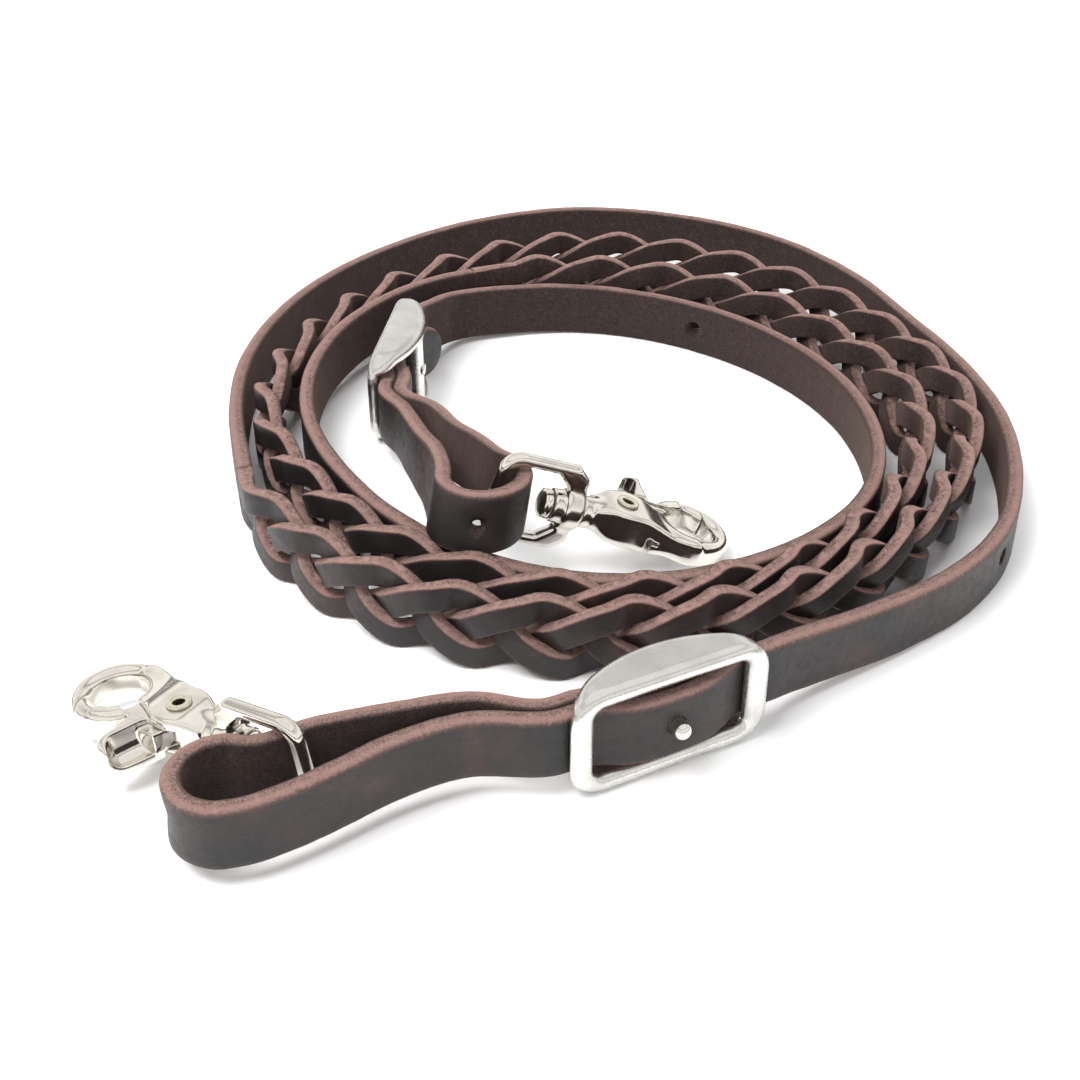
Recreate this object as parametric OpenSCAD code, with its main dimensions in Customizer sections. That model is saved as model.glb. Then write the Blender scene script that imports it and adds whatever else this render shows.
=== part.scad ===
// Leather riding reins with a braided grip, coiled up and standing on edge.
// Two plain straps join a three-strand braid; each end is folded back through a
// conway buckle and carries a swivel trigger snap.
// Units are millimetres.  Origin: centre of the coil, on the surface it stands on.
// +Z is up, the loose loop with the first snap lies toward -Y.

/* [Leather] */
// width of the plain strap
strap_w = 16; // [13:0.5:25]
// thickness of the plain strap
strap_t = 4.3; // [3:0.1:5]
// chamfer taken off every strap edge
edge_cut = 0.6; // [0.2:0.1:1.2]
// width of one braid strand once it leaves the strap
strand_w = 6.2; // [4:0.1:8]
// thickness of one braid strand
strand_t = 3.1; // [2.5:0.1:4.5]
// how far a strand swings up and down from the middle of the braid
swing = 7.6; // [5:0.1:9]
// how far a strand moves in and out where it crosses another
weave = 2.7; // [1.5:0.05:4]
// full repeats of one strand along the braid
repeats = 16.5; // [10:0.5:24]
// radius of the punched holes
hole_r = 2.3; // [1.5:0.1:3]

/* [Conway buckle] */
// length of the frame along the strap
frame_l = 50.5; // [40:0.5:60]
// height of the frame across the strap
frame_h = 28; // [24:0.5:34]
// width of the end bars along the strap
bar_w = 6; // [4:0.5:8]
// height of the side rails
rail_h = 4.5; // [3:0.1:6]
// thickness of the end bars
bar_t = 3; // [2:0.1:4]
// how far the side rails arch out behind the strap
arch = 9.2; // [7:0.1:12]
// radius of the stud that passes through the leather
stud_r = 2.1; // [1.5:0.1:2.6]

/* [Trigger snap] */
// distance from the bail bar to the rivet
rivet_x = 34.6; // [30:0.1:40]
// distance from the bail bar to the middle of the ring
ring_x = 53.8; // [48:0.1:58]
// outer radius of the ring
ring_r = 11.2; // [9:0.1:13]
// radius of the ring opening
eye_r = 7; // [5:0.1:8]
// half of the clear height inside the bail
bail_in = 9.2; // [8.5:0.1:12]
// radius of the swivel shank
shank_r = 2.85; // [2:0.05:3.5]
// half of the thickness over both cheeks
cheek_z = 4.6; // [4:0.1:6]

/* [Hidden] */
$fn = 48;
gap = 0.1;                          // clearance between leather and metal
open_l = frame_l - 2 * bar_w;       // buckle opening
open_h = frame_h - 2 * rail_h;
cross_r = 2.2;                      // cross bar radius and depth
cross_y = arch - 2.6;
tenon_r = stud_r - 0.6;             // stud tenon
stud_out = 6;                       // post length in front of the end bars
run_fit = 0.06;                     // clearance of turning metal parts
mid = frame_h / 2;                  // height of the strap inside a standing buckle
fold_r = 12.5 - strap_t / 2;        // centre-line radius of the folds
step_len = 4;                       // spacing of the sections along a strap
per_repeat = 16;                    // sections along one repeat of a strand
braid_from = 201;                   // coil angle where the braid starts
braid_to = 832;                     // coil angle where the braid ends
split_len = 14;                     // length over which the strands leave the strap
band = strap_w / 3;                 // share of the strap that becomes one strand
dark = [0.21, 0.15, 0.14];
brown = [0.36, 0.22, 0.19];
nickel = [0.80, 0.79, 0.75];

// ---------------------------------------------------------------- placement
// buckles: [x, y], heading of the main strap through the frame
buckle_1 = [15.4, -131];
head_1 = 27.3;
buckle_2 = [-56.3, 30.6];
head_2 = 262.5;
// folds: centre of the bend
fold_1 = [-77.3, -156.8];
fold_2 = [-27.8, -61];
// snaps: bail bar centre, then heading, slope, roll of the hook, roll of the bail
snap_1 = [-62, -148, 14.1];
snap_2 = [-23.4, -60.1, 26.7];
turn_1 = [148, 6, 1, -4];
turn_2 = [11, 21, 0, 0];

// lay of the coil, one entry per 30 degrees: [radius, height of the strap centre]
// first turn, plain strap from the front right round to the left
lay_a = [[121.2, 8], [119.2, 8], [121.2, 8], [141.8, 8], [149.8, 8], [132.4, 8],
         [112.8, 8.4], [99.4, 9.6], [98, 10.8]];
// second turn, outer layer of the braid
lay_b = [[98.3, 10.8], [99.5, 10.8], [101, 10.8], [103, 10.8], [108.5, 10.8],
         [107, 10.8], [111, 10.8], [114, 10.8], [102.4, 10.8], [94.6, 10.8],
         [90.6, 10.8], [83.6, 10.8]];
// third turn, inner layer of the braid
lay_c = [[84.7, 10.8], [89.7, 10.8], [91.7, 10.8], [92.8, 10.8], [94.2, 10.8],
         [90, 10.8], [91, 11.2], [91.4, 12.2], [92, 13], [86.2, 12.6],
         [79, 10.6], [73.2, 8.8]];
// last turn, plain strap inside the braid
lay_d = [[75.2, 8], [81.6, 8], [84.4, 8], [85.4, 8], [81.3, 8],
         [78.6, 8], [79.4, 8], [83.1, 8.4], [83, 10.6]];
lay = concat(lay_a, lay_b, lay_c, lay_d);
lay_start = -30;
lay_step = 30;

// ---------------------------------------------------------------- curves
function unit(v) = v / norm(v);
function polar(r, a) = [r * cos(a), r * sin(a)];
function ease(t) = t <= 0 ? 0 : t >= 1 ? 1 : t * t * (3 - 2 * t);
// point beside a buckle: x along the strap, y behind the end bars
function beside(b, h, x, y) = b + polar(x, h) + polar(y, h + 90);
// control point: [x, y, height, tilt x, tilt y]
function knot(p, z, tilt = [0, 0]) = [p[0], p[1], z, tilt[0], tilt[1]];

// smooth curve through control points, each span cut into equal pieces
function place3(k) = [k[0], k[1], k[2]];
function span(p, i) = norm(place3(p[i + 1]) - place3(p[i]));
function speed(p, i) =
  i == 0 ? (p[1] - p[0]) / span(p, 0) :
  i == len(p) - 1 ? (p[i] - p[i - 1]) / span(p, i - 1) :
  ((p[i + 1] - p[i]) / span(p, i) * span(p, i - 1)
   + (p[i] - p[i - 1]) / span(p, i - 1) * span(p, i)) / (span(p, i) + span(p, i - 1));
function hermite(a, b, u, v, t) =
  a * (1 + 2 * t) * (1 - t) * (1 - t) + u * t * (1 - t) * (1 - t)
  + b * t * t * (3 - 2 * t) + v * t * t * (t - 1);
function smooth(p, piece) = [
  for (i = [0 : len(p) - 2])
    let (d = span(p, i), n = max(1, round(d / piece)), u = speed(p, i) * d,
         v = speed(p, i + 1) * d)
      for (j = [0 : n - (i == len(p) - 2 ? 0 : 1)])
        hermite(p[i], p[i + 1], u, v, j / n)];

// radius and height of the lay at any coil angle
function lay_slope(i) =
  let (a = max(i - 1, 0), b = min(i + 1, len(lay) - 1)) (lay[b] - lay[a]) / (b - a);
function lay_at(a) =
  let (q = (a - lay_start) / lay_step, i = min(max(floor(q), 0), len(lay) - 2))
    hermite(lay[i], lay[i + 1], lay_slope(i), lay_slope(i + 1), q - i);
function on_lay(a) = let (k = lay_at(a)) knot(polar(k[0], a), k[1]);

// ---------------------------------------------------------------- swept solids
// closed solid from rows of section points, all rows the same length
module skin(rows) {
  n = len(rows);
  m = len(rows[0]);
  points = [for (row = rows) for (p = row) p];
  sides = [
    for (i = [0 : n - 2])
      for (j = [0 : m - 1])
        let (a = i * m + j, b = i * m + (j + 1) % m)
          each [[a, b, a + m], [b, b + m, a + m]]];
  first = [for (j = [m - 1 : -1 : 0]) j];
  last = [for (j = [0 : m - 1]) (n - 1) * m + j];
  polyhedron(points, concat([first], sides, [last]), convexity = 12);
}
function tangent(p, i) =
  unit(place3(p[min(i + 1, len(p) - 1)]) - place3(p[max(i - 1, 0)]));
// strap section: points run round the rectangle with its four corners cut off
function section(c, t, up, w, th, cut) =
  let (s = unit(up - t * (t * up)), o = cross(t, s), a = w / 2, b = th / 2)
    [for (q = [[b, a - cut], [b - cut, a], [cut - b, a], [-b, a - cut],
               [-b, cut - a], [cut - b, -a], [b - cut, -a], [b, cut - a]])
       c + o * q[0] + s * q[1]];
module ribbon(path) {
  skin([for (i = [0 : len(path) - 1])
    section(place3(path[i]), tangent(path, i), [path[i][3], path[i][4], 1],
            strap_w, strap_t, edge_cut)]);
}

// ---------------------------------------------------------------- straps
lean = [0.17, 0.19];                 // tilt of the raised inner loop
// both layers inside a buckle: [along the frame, behind the end bars]
over_bars = [[-26, 2.7], [-19, 2.35], [-9, -1.6], [0, -2.5], [9, -1.6], [19, 2.35], [26, 2.7]];
under_bars = [[18, 9.8], [9, 4.9], [0, 2], [-9, 2.95], [-19, 6.9], [-26, 7.3]];
outer_knots = concat(
  [for (q = under_bars) knot(beside(buckle_1, head_1, q[0], q[1]), mid)],
  [
   knot([-27.5, -133.5], 13.4), knot([-45, -136.9], 13), knot([-60, -141.2], 12.9)],
  [for (a = [70 : 28 : 294]) knot(fold_1 + polar(fold_r, a), 12.7)],
  [knot([-63.6, -161.6], 12.7), knot([-53.6, -154.6], 12.8), knot([-43, -147.2], 13.2),
   knot([-28.6, -140.9], 13.6),
   each [for (q = over_bars) knot(beside(buckle_1, head_1, q[0], q[1]), mid)],
   knot([44, -111.4], 12.6), knot([58.6, -101.4], 10.4), knot([76.6, -89], 8.6),
   knot(polar(119.4, -41), 8)],
  [for (a = [lay_start : lay_step / 2 : braid_from - 6]) on_lay(a)],
  [on_lay(braid_from - 0.3)]);
inner_knots = concat(
  [on_lay(braid_to + 0.3)],
  [for (a = [840 : lay_step / 2 : 1185]) on_lay(a)],
  [knot([-40.8, 72.2], 10.8), knot([-47, 62.4], 12.8),
   each [for (q = over_bars) knot(beside(buckle_2, head_2, q[0], q[1]), mid)],
   knot([-50.8, -10.7], 15.8, lean / 4), knot([-45, -30.4], 19.4, lean / 2),
   knot([-40, -47], 22.8, lean)],
  [for (a = [170 : 28 : 394]) knot(fold_2 + polar(fold_r, a), 24.8, lean)],
  [knot([-23.9, -49.6], 24, lean), knot([-29.6, -38.6], 22.2, lean * 0.7),
   knot([-35.6, -27.4], 19.6, lean / 2), knot([-42.4, -11], 16.4, lean / 4),
   each [for (i = [len(under_bars) - 1 : -1 : 0])
     let (q = under_bars[i]) knot(beside(buckle_2, head_2, -q[0], q[1]), mid)]]);

module punch(p, a, length = 30) {
  translate(p)
    rotate([90, 0, a - 90])
      cylinder(r = hole_r, h = length, center = true);
}
// rounded tongue on the free end of a strap
module tongue(b, h, x, y, flip) {
  translate([beside(b, h, x, y)[0], beside(b, h, x, y)[1], mid])
    rotate([0, 0, h + (flip ? 180 : 0) + 28])
      rotate([90, 0, 0])
        difference() {
          translate([-4, -strap_w / 2 - 1, -5])
            cube([10, strap_w + 2, 10]);
          translate([-strap_w / 2 + 1, 0, -6])
            cylinder(r = strap_w / 2 + 0.2, h = 12);
        }
}
module outer_strap() {
  color(dark)
    difference() {
      ribbon(smooth(outer_knots, step_len));
      punch([buckle_1[0], buckle_1[1], mid], head_1 + 90);
      punch([fold_1[0] - 12, fold_1[1] - 3, 12.2], 195, 16);
      punch([105, -60.6, 8], -30, 14);
      tongue(buckle_1, head_1, 18, 9.6, false);
    }
}
module inner_strap() {
  color(dark)
    difference() {
      ribbon(smooth(inner_knots, step_len));
      punch([buckle_2[0], buckle_2[1], mid], head_2 + 90);
      punch([fold_2[0] - 0.5, fold_2[1] - 12, 25.2], 270, 16);
      punch([38, 70, 8], 61.5, 14);
      tongue(buckle_2, head_2, -18, 9.6, true);
    }
}

// ---------------------------------------------------------------- braid
braid_step = 3;
braid_angles = [for (a = [braid_from : braid_step : braid_to]) a];
// running length along the lay, one value per braid angle
function run(a, from) = norm(place3(on_lay(a)) - place3(on_lay(from)));
braid_run = [
  for (i = 0, s = 0; i < len(braid_angles);
       i = i + 1, s = s + (i < len(braid_angles)
         ? run(braid_angles[i], braid_angles[i - 1]) : 0)) s];
braid_len = braid_run[len(braid_run) - 1];
angle_table = [for (i = [0 : len(braid_run) - 1]) [braid_run[i], braid_angles[i]]];
weave_len = braid_len - 2 * split_len;
repeat_len = weave_len / repeats;
// frame of the lay at running length s: [centre, along, outward]
function braid_frame(s) =
  let (a = lookup(s, angle_table), c = place3(on_lay(a)),
       t = unit(place3(on_lay(a + 1)) - place3(on_lay(a - 1))))
    [c, t, unit([t[1], -t[0], 0])];
// wave with broad tops, so that crossing strands lie flat on one another
function flatten(v) = v * sqrt(1.2 / (v * v + 0.2));
// strand offset [up, out] at running length s for a strand with phase shift
function strand_offset(s, shift) =
  let (u = (s - split_len) / repeat_len * 360 + 60 + shift,
       k = ease(s / split_len) * ease((braid_len - s) / split_len),
       flat = band * sign(round(sin(max(min(u, repeats * 360 + 60 + shift), 60 + shift)))),
       held = max(min(u, repeats * 360 + 60 + shift), 60 + shift))
    [swing * sin(held) * k + flat * (1 - k), weave * flatten(sin(2 * held)) * k];
function strand_point(s, shift) =
  let (f = braid_frame(s), q = strand_offset(s, shift))
    f[0] + [0, 0, 1] * q[0] + f[2] * q[1];
function strand_width(s) =
  let (k = ease(s / split_len) * ease((braid_len - s) / split_len))
    (band - gap) * (1 - k) + strand_w * k;
function strand_thick(s) =
  let (k = ease(s / split_len) * ease((braid_len - s) / split_len))
    strap_t * (1 - k) + strand_t * k;
module strand(shift) {
  count = round(braid_len / repeat_len * per_repeat);
  rows = [
    for (i = [0 : count])
      let (s = braid_len * i / count, f = braid_frame(s), d = 0.4,
           t = unit(strand_point(min(s + d, braid_len), shift)
                    - strand_point(max(s - d, 0), shift)),
           side = unit(cross(f[2], t)), o = cross(t, side),
           a = strand_width(s) / 2, b = strand_thick(s) / 2,
           c = strand_point(s, shift))
        [for (q = [[b, a], [-b, a], [-b, -a], [b, -a]]) c + o * q[0] + side * q[1]]];
  color(brown)
    skin(rows);
}
module braid_strand_1() {
  strand(0);
}
module braid_strand_2() {
  strand(120);
}
module braid_strand_3() {
  strand(240);
}

// ---------------------------------------------------------------- conway buckle
module at_buckle(b, h) {
  translate([b[0], b[1], mid])
    rotate([0, 0, h])
      children();
}
module rounded(l, w, r) {
  square([l - 2 * r, w], center = true);
  square([l, w - 2 * r], center = true);
  for (x = [-1, 1])
    for (y = [-1, 1])
      translate([x * (l / 2 - r), y * (w / 2 - r)])
        circle(r = r);
}
// local axes: x along the strap, y behind the end bars, z up
module buckle_frame() {
  arch_r = (pow(frame_l / 2, 2) + pow(arch, 2)) / (2 * arch);
  color(nickel)
    difference() {
      union() {
        intersection() {
          // seen square on: outline less the opening
          rotate([90, 0, 0])
            linear_extrude(40, center = true)
              difference() {
                rounded(frame_l, frame_h, 8);
                rounded(open_l, open_h, 2.5);
              }
          // seen from the edge: flat front, arched back
          linear_extrude(frame_h + 2, center = true)
            intersection() {
              translate([0, arch - arch_r])
                circle(r = arch_r, $fn = 96);
              translate([0, 20 - bar_t])
                rounded(frame_l, 40, 1.4);
            }
          // seen from the end: rounded top and bottom
          rotate([90, 0, 90])
            linear_extrude(frame_l + 2, center = true)
              translate([(arch - bar_t) / 2, 0])
                rounded(arch + bar_t, frame_h, 1.6);
        }
        // cross bar that carries the stud
        translate([0, cross_y, 0])
          cylinder(r = cross_r, h = open_h + 2, center = true);
      }
      // the strap passes behind the end bars
      for (x = [-1, 1])
        translate([x * (frame_l / 4 + 2), arch, 0])
          cube([frame_l / 2 - 4, 2 * arch, open_h], center = true);
      rotate([-90, 0, 0])
        cylinder(r = tenon_r + 0.02, h = arch + 4);
    }
}
module buckle_stud() {
  seat = cross_y - cross_r;
  back = cross_y + cross_r;
  color(nickel)
    rotate([90, 0, 0]) {
      // tenon riveted through the cross bar
      translate([0, 0, -back - 0.3])
        cylinder(r = tenon_r, h = back + 1 - seat);
      translate([0, 0, -back - 0.02])
        intersection() {
          translate([0, 0, 1.2])
            sphere(r = 2.2);
          translate([0, 0, -3])
            cylinder(r = 1.85, h = 3);
        }
      // post through both layers, domed end
      translate([0, 0, -seat + 0.02])
        cylinder(r = stud_r, h = seat + stud_out);
      translate([0, 0, stud_out])
        intersection() {
          sphere(r = stud_r);
          cylinder(r = stud_r, h = stud_r);
        }
    }
}
module outer_buckle_frame() {
  at_buckle(buckle_1, head_1)
    buckle_frame();
}
module outer_buckle_stud() {
  at_buckle(buckle_1, head_1)
    buckle_stud();
}
module inner_buckle_frame() {
  at_buckle(buckle_2, head_2)
    buckle_frame();
}
module inner_buckle_stud() {
  at_buckle(buckle_2, head_2)
    buckle_stud();
}

// ---------------------------------------------------------------- trigger snap
// local axes: x from the bail bar to the ring, y toward the trigger, z along the rivet
module at_snap(p, turn, rolled) {
  translate(p)
    rotate([0, turn[1], turn[0]])
      rotate([rolled ? turn[2] : turn[3], 0, 0])
        children();
}
bar_r = 1.9;                         // bail bar
collar_x = 14.6;                     // start of the collar
bail_end = 22.4;                     // end of the collar
head_x = 11;                         // start of the swivel head
rail_z = 3.2;                        // thickness of the bail's rails
cheek_gap = 2.6;                     // half of the slot for the trigger
gate_r = 25.2;                       // reach of the gate from the rivet
ring_z = 3.2;                        // half of the ring's thickness
// loop outline: round corners at the bar, tapering in toward the collar
module bail_outline(from, to, half, r, shoulder) {
  for (side = [-1, 1])
    translate([from + r, side * (half - r)])
      circle(r = r);
  polygon([[from, r - half], [from + r, -half], [to - 5, -half], [to, -shoulder],
           [to, shoulder], [to - 5, half], [from + r, half], [from, half - r]]);
}
module snap_bail() {
  color(nickel)
    difference() {
      union() {
        // rails and end plate
        intersection() {
          rotate([90, 0, 0])
            linear_extrude(2 * bar_r, center = true)
              difference() {
                bail_outline(-bar_r, bail_end, bail_in + rail_z, 6, 8.2);
                bail_outline(bar_r, bail_end - 4.8, bail_in, 1.5, 5.6);
              }
          // rounded edges seen along the bail
          rotate([90, 0, 90])
            linear_extrude(2 * bail_end + 10, center = true)
              rounded(2 * bar_r, 2 * (bail_in + rail_z), 1.5);
          translate([-bar_r, -bail_end, -20])
            cube([bail_end + bar_r, 2 * bail_end, 40]);
        }
        cylinder(r = bar_r, h = 2 * bail_in + 1, center = true);
        // collar
        translate([bail_end - 4.8, 0, 0])
          rotate([0, 90, 0])
            cylinder(r = 5.3, h = 4.8);
        translate([collar_x, 0, 0])
          rotate([0, 90, 0])
            cylinder(r = 4.5, h = 4);
      }
      // bore for the swivel shank
      translate([collar_x - 1, 0, 0])
        rotate([0, 90, 0])
          cylinder(r = shank_r + run_fit, h = bail_end - collar_x + 2);
    }
}
// outlines of the hook and trigger, drawn from the rivet
ring_c = [ring_x - rivet_x, 0];
ring_edge = 1.5;                     // rounding of the ring's section
slab_z = cheek_gap - 0.1;            // half of the trigger's thickness in the slot
neck_x = -9;                         // start of the body
neck_y = 4.3;
neck_z = 3.6;
// eased step from a to b while x runs over the span
function step_to(x, from, to, a, b) = a + (b - a) * ease((x - from) / (to - from));
// half of the body's thickness and its lower edge, seen from the side and from above
function body_z(x) = min(step_to(x, neck_x + 1, -3.5, neck_z, cheek_z),
                         step_to(x, 4, 12.5, cheek_z, ring_z));
function body_y(x) = step_to(x, neck_x, ring_c[0], neck_y, ring_r);
body_xs = [for (i = [0 : 20]) neck_x + (ring_c[0] - neck_x) * i / 20];
module ring_solid() {
  translate(ring_c)
    rotate_extrude()
      translate([(ring_r + eye_r) / 2, 0])
        rounded(ring_r - eye_r, 2 * ring_z, ring_edge);
}
module eye_cut() {
  translate(ring_c)
    cylinder(r = eye_r, h = 20, center = true);
}
// space of the gate, as wide as the slot's mouth and g longer than the gate
module gate_zone(g) {
  linear_extrude(20, center = true)
    intersection() {
      circle(r = gate_r + g, $fn = 96);
      polygon([[3.2, 5.6], [10.8, 1.7], [ring_c[0], 0], [26, 0.5], [26, 14], [3.2, 14]]);
    }
}
module trigger_outline() {
  polygon(concat(
    [[0, -4.9], [5.5, -4.2], [10.6, -1.9], [ring_c[0], 0]],
    [for (a = [90 : 10 : 140]) ring_c + polar(ring_r, a)],
    [[6.8, 7.8], [3, 6.6], [-1, 4.8]]));
  circle(r = 4.9);
}
module snap_hook() {
  color(nickel)
    difference() {
      union() {
        // peened swivel head
        translate([head_x, 0, 0])
          rotate([0, 90, 0])
            intersection() {
              cylinder(r = 3.9, h = 3.3);
              translate([0, 0, 6.4])
                sphere(r = 6.4);
            }
        translate([head_x + 2, 0, 0])
          rotate([0, 90, 0])
            cylinder(r = shank_r, h = 14);
        // neck
        translate([bail_end + 0.2, 0, 0])
          rotate([0, 90, 0])
            cylinder(r = neck_y, h = 6);
        translate([rivet_x, 0, 0])
          difference() {
            union() {
              ring_solid();
              // body and arm: plan cut by the side view
              difference() {
                intersection() {
                  linear_extrude(2 * cheek_z, center = true) {
                    circle(r = 6.4);
                    polygon(concat([for (x = body_xs) [x, -body_y(x)]],
                      [[ring_c[0], 0], [12, 2.4], [3.2, 5.6], [-4, 5.2], [neck_x, neck_y]]));
                  }
                  rotate([90, 0, 0])
                    linear_extrude(40, center = true)
                      polygon(concat([for (x = body_xs) [x, -body_z(x)]],
                        [for (i = [len(body_xs) - 1 : -1 : 0]) [body_xs[i], body_z(body_xs[i])]]));
                }
                eye_cut();
              }
            }
            gate_zone(0.15);
          }
      }
      // slot between the cheeks
      translate([rivet_x, 0, 0])
        linear_extrude(2 * cheek_gap, center = true) {
          circle(r = 5.2);
          polygon([[0, -5.2], [8.6, -7.1], [12.4, -6], [13.6, -3], [13.6, 12],
                   [-3.6, 12], [-4.4, 2.6]]);
        }
      // slot between the lower cheek and the arm, with a notch for the spring's end
      translate([rivet_x + 6.4, -9, -cheek_z / 2])
        cube([1.3, 10, cheek_z + 0.6], center = true);
      translate([rivet_x + 7.2, -8, -0.2])
        cube([2.6, 6, 1], center = true);
      translate([rivet_x, 0, 0])
        cylinder(r = 2.02, h = 12, center = true);
    }
}
module snap_trigger() {
  color(nickel)
    translate([rivet_x, 0, 0])
      difference() {
        union() {
          linear_extrude(2 * slab_z, center = true)
            trigger_outline();
          // thicker gate outside the cheeks
          intersection() {
            union() {
              ring_solid();
              linear_extrude(2 * ring_z, center = true)
                intersection() {
                  trigger_outline();
                  polygon([[7.5, 6.5], [14, 5.4], [14, 12], [0, 20]]);
                }
            }
            linear_extrude(20, center = true)
              intersection() {
                circle(r = gate_r, $fn = 96);
                polygon([[7.5, 6.5], [14, 5.4], [30, 0], [30, 20], [0, 20]]);
              }
          }
          // thumb tail
          linear_extrude(8, center = true)
            difference() {
              polygon([[-0.6, 7.2], [1.5, 12.5], [3.7, 17.2], [5, 18.5], [6.4, 18.3],
                       [7.2, 17], [7.1, 13], [7.6, 9.4], [8.2, 7.4]]);
              circle(r = 7);
            }
          linear_extrude(2 * slab_z, center = true)
            polygon([[-2.4, 3.8], [-0.6, 7.4], [0.2, 9], [6, 9], [6, 4]]);
        }
        eye_cut();
        // hollow of the tail: a wall stays on the ring side, round the tip and below
        translate([0, 0, -2.5])
          linear_extrude(10)
            polygon([[-3, 9.6], [5.4, 9.6], [5.2, 13], [5.3, 16.2], [4.6, 16.9], [-3, 14]]);
        cylinder(r = 2 + run_fit, h = 12, center = true);
        // pocket for the spring coils
        cylinder(r = 3.7, h = 3.2, center = true);
        // window the fixed spring leg moves in
        translate([0, -4, 0])
          cube([4.4, 4.6, 1.6], center = true);
      }
}
module snap_rivet() {
  color([0.74, 0.70, 0.58])
    translate([rivet_x, 0, 0])
      difference() {
        union() {
          cylinder(r = 2, h = 2 * cheek_z + 0.4, center = true);
          for (side = [-1, 1])
            translate([0, 0, side * (cheek_z + 0.36)])
              rotate_extrude()
                translate([1.9, 0])
                  rounded(2, 0.7, 0.34);
        }
        cylinder(r = 1.25, h = 14, center = true);
      }
}
// torsion spring: three coils round the rivet and one leg to the body
module snap_spring() {
  turns = 3;
  wire_r = 0.35;
  coil_r = 2.95;
  sides = 8;
  helix = [
    for (i = [0 : turns * 20])
      let (a = i * 18 - 90)
        [coil_r * cos(a), coil_r * sin(a), (i / 20 - turns / 2) * 0.85]];
  color([0.55, 0.55, 0.57])
    translate([rivet_x, 0, 0])
      skin([for (i = [0 : len(helix) - 1])
        let (t = tangent(helix, i), s = unit([0, 0, 1] - t * t[2]), o = cross(t, s))
          [for (k = [0 : sides - 1])
             helix[i] + (o * cos(k * 45) + s * sin(k * 45)) * wire_r]]);
}

module outer_snap_bail() {
  at_snap(snap_1, turn_1, false)
    snap_bail();
}
module outer_snap_hook() {
  at_snap(snap_1, turn_1, true)
    snap_hook();
}
module outer_snap_trigger() {
  at_snap(snap_1, turn_1, true)
    snap_trigger();
}
module outer_snap_rivet() {
  at_snap(snap_1, turn_1, true)
    snap_rivet();
}
module outer_snap_spring() {
  at_snap(snap_1, turn_1, true)
    snap_spring();
}
module inner_snap_bail() {
  at_snap(snap_2, turn_2, false)
    snap_bail();
}
module inner_snap_hook() {
  at_snap(snap_2, turn_2, true)
    snap_hook();
}
module inner_snap_trigger() {
  at_snap(snap_2, turn_2, true)
    snap_trigger();
}
module inner_snap_rivet() {
  at_snap(snap_2, turn_2, true)
    snap_rivet();
}
module inner_snap_spring() {
  at_snap(snap_2, turn_2, true)
    snap_spring();
}

outer_strap();
braid_strand_1();
braid_strand_2();
braid_strand_3();
inner_strap();
outer_buckle_frame();
outer_buckle_stud();
inner_buckle_frame();
inner_buckle_stud();
outer_snap_bail();
outer_snap_hook();
outer_snap_trigger();
outer_snap_rivet();
outer_snap_spring();
inner_snap_bail();
inner_snap_hook();
inner_snap_trigger();
inner_snap_rivet();
inner_snap_spring();
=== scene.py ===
"""Leather reins with a braided grip, coiled and standing on edge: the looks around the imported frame.

Lengths below are in millimetres, as in the part's own drawing, and MM turns them into metres.
"""

import math

import bmesh
import bpy
import numpy as np
from mathutils import Matrix, Vector, noise

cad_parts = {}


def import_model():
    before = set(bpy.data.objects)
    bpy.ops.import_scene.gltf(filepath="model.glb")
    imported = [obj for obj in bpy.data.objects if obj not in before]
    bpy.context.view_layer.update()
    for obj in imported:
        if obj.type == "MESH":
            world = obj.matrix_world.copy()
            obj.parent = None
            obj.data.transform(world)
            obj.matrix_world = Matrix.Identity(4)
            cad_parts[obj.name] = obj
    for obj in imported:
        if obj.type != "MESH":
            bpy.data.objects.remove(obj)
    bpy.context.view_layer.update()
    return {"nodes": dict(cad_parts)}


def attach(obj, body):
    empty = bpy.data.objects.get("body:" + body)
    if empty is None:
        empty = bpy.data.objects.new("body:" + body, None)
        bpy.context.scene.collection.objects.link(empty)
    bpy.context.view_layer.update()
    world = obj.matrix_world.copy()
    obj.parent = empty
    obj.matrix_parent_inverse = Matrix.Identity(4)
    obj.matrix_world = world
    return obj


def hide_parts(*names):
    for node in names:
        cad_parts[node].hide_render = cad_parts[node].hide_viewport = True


MM = 0.001

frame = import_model()
SCENE = bpy.context.scene
SCENE.view_settings.view_transform = "Standard"

# ---------------------------------------------------------------- driving sizes
STRAP_W = 16.0
STRAP_T = 4.3
GRAIN_EDGE_R, FLESH_EDGE_R = 1.15, 0.7    # eased corners of a cut strap
STRAND_W = 6.9
STRAND_T = 3.8
SWING = 7.25                    # how far a strand rises and falls in the braid
WEAVE = 2.35                    # how far it moves out and in
REPEATS = 16.5                  # times that each strand repeats its path
HOLE_R = 2.3
STUD_HOLE_R = 2.25
INNER_FOLD_HOLE_R = 1.7
MID = 14.0                      # height of the strap inside a standing buckle
STUD_Y = -2.5                   # the strap's centre at the stud, before the end bars
FOLD_R = 12.5 - STRAP_T / 2     # centre line of the folds
BRAID_FROM = 201.0              # coil angles between which the strap is braided
BRAID_TO = 832.0
SPLIT = 14.0                    # length over which strands leave the strap
BAND = STRAP_W / 3              # width of a strand where it leaves the strap

# outer end, then inner end: buckle centre and heading, fold centre and height
BUCKLE_1, HEAD_1 = np.array([15.4, -131.0]), 27.3
BUCKLE_2, HEAD_2 = np.array([-56.3, 30.6]), 262.5
FOLD_1, FOLD_Z_1 = np.array([-77.3, -156.8]), 12.7
FOLD_2, FOLD_Z_2 = np.array([-27.8, -61.0]), 24.8

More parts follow.
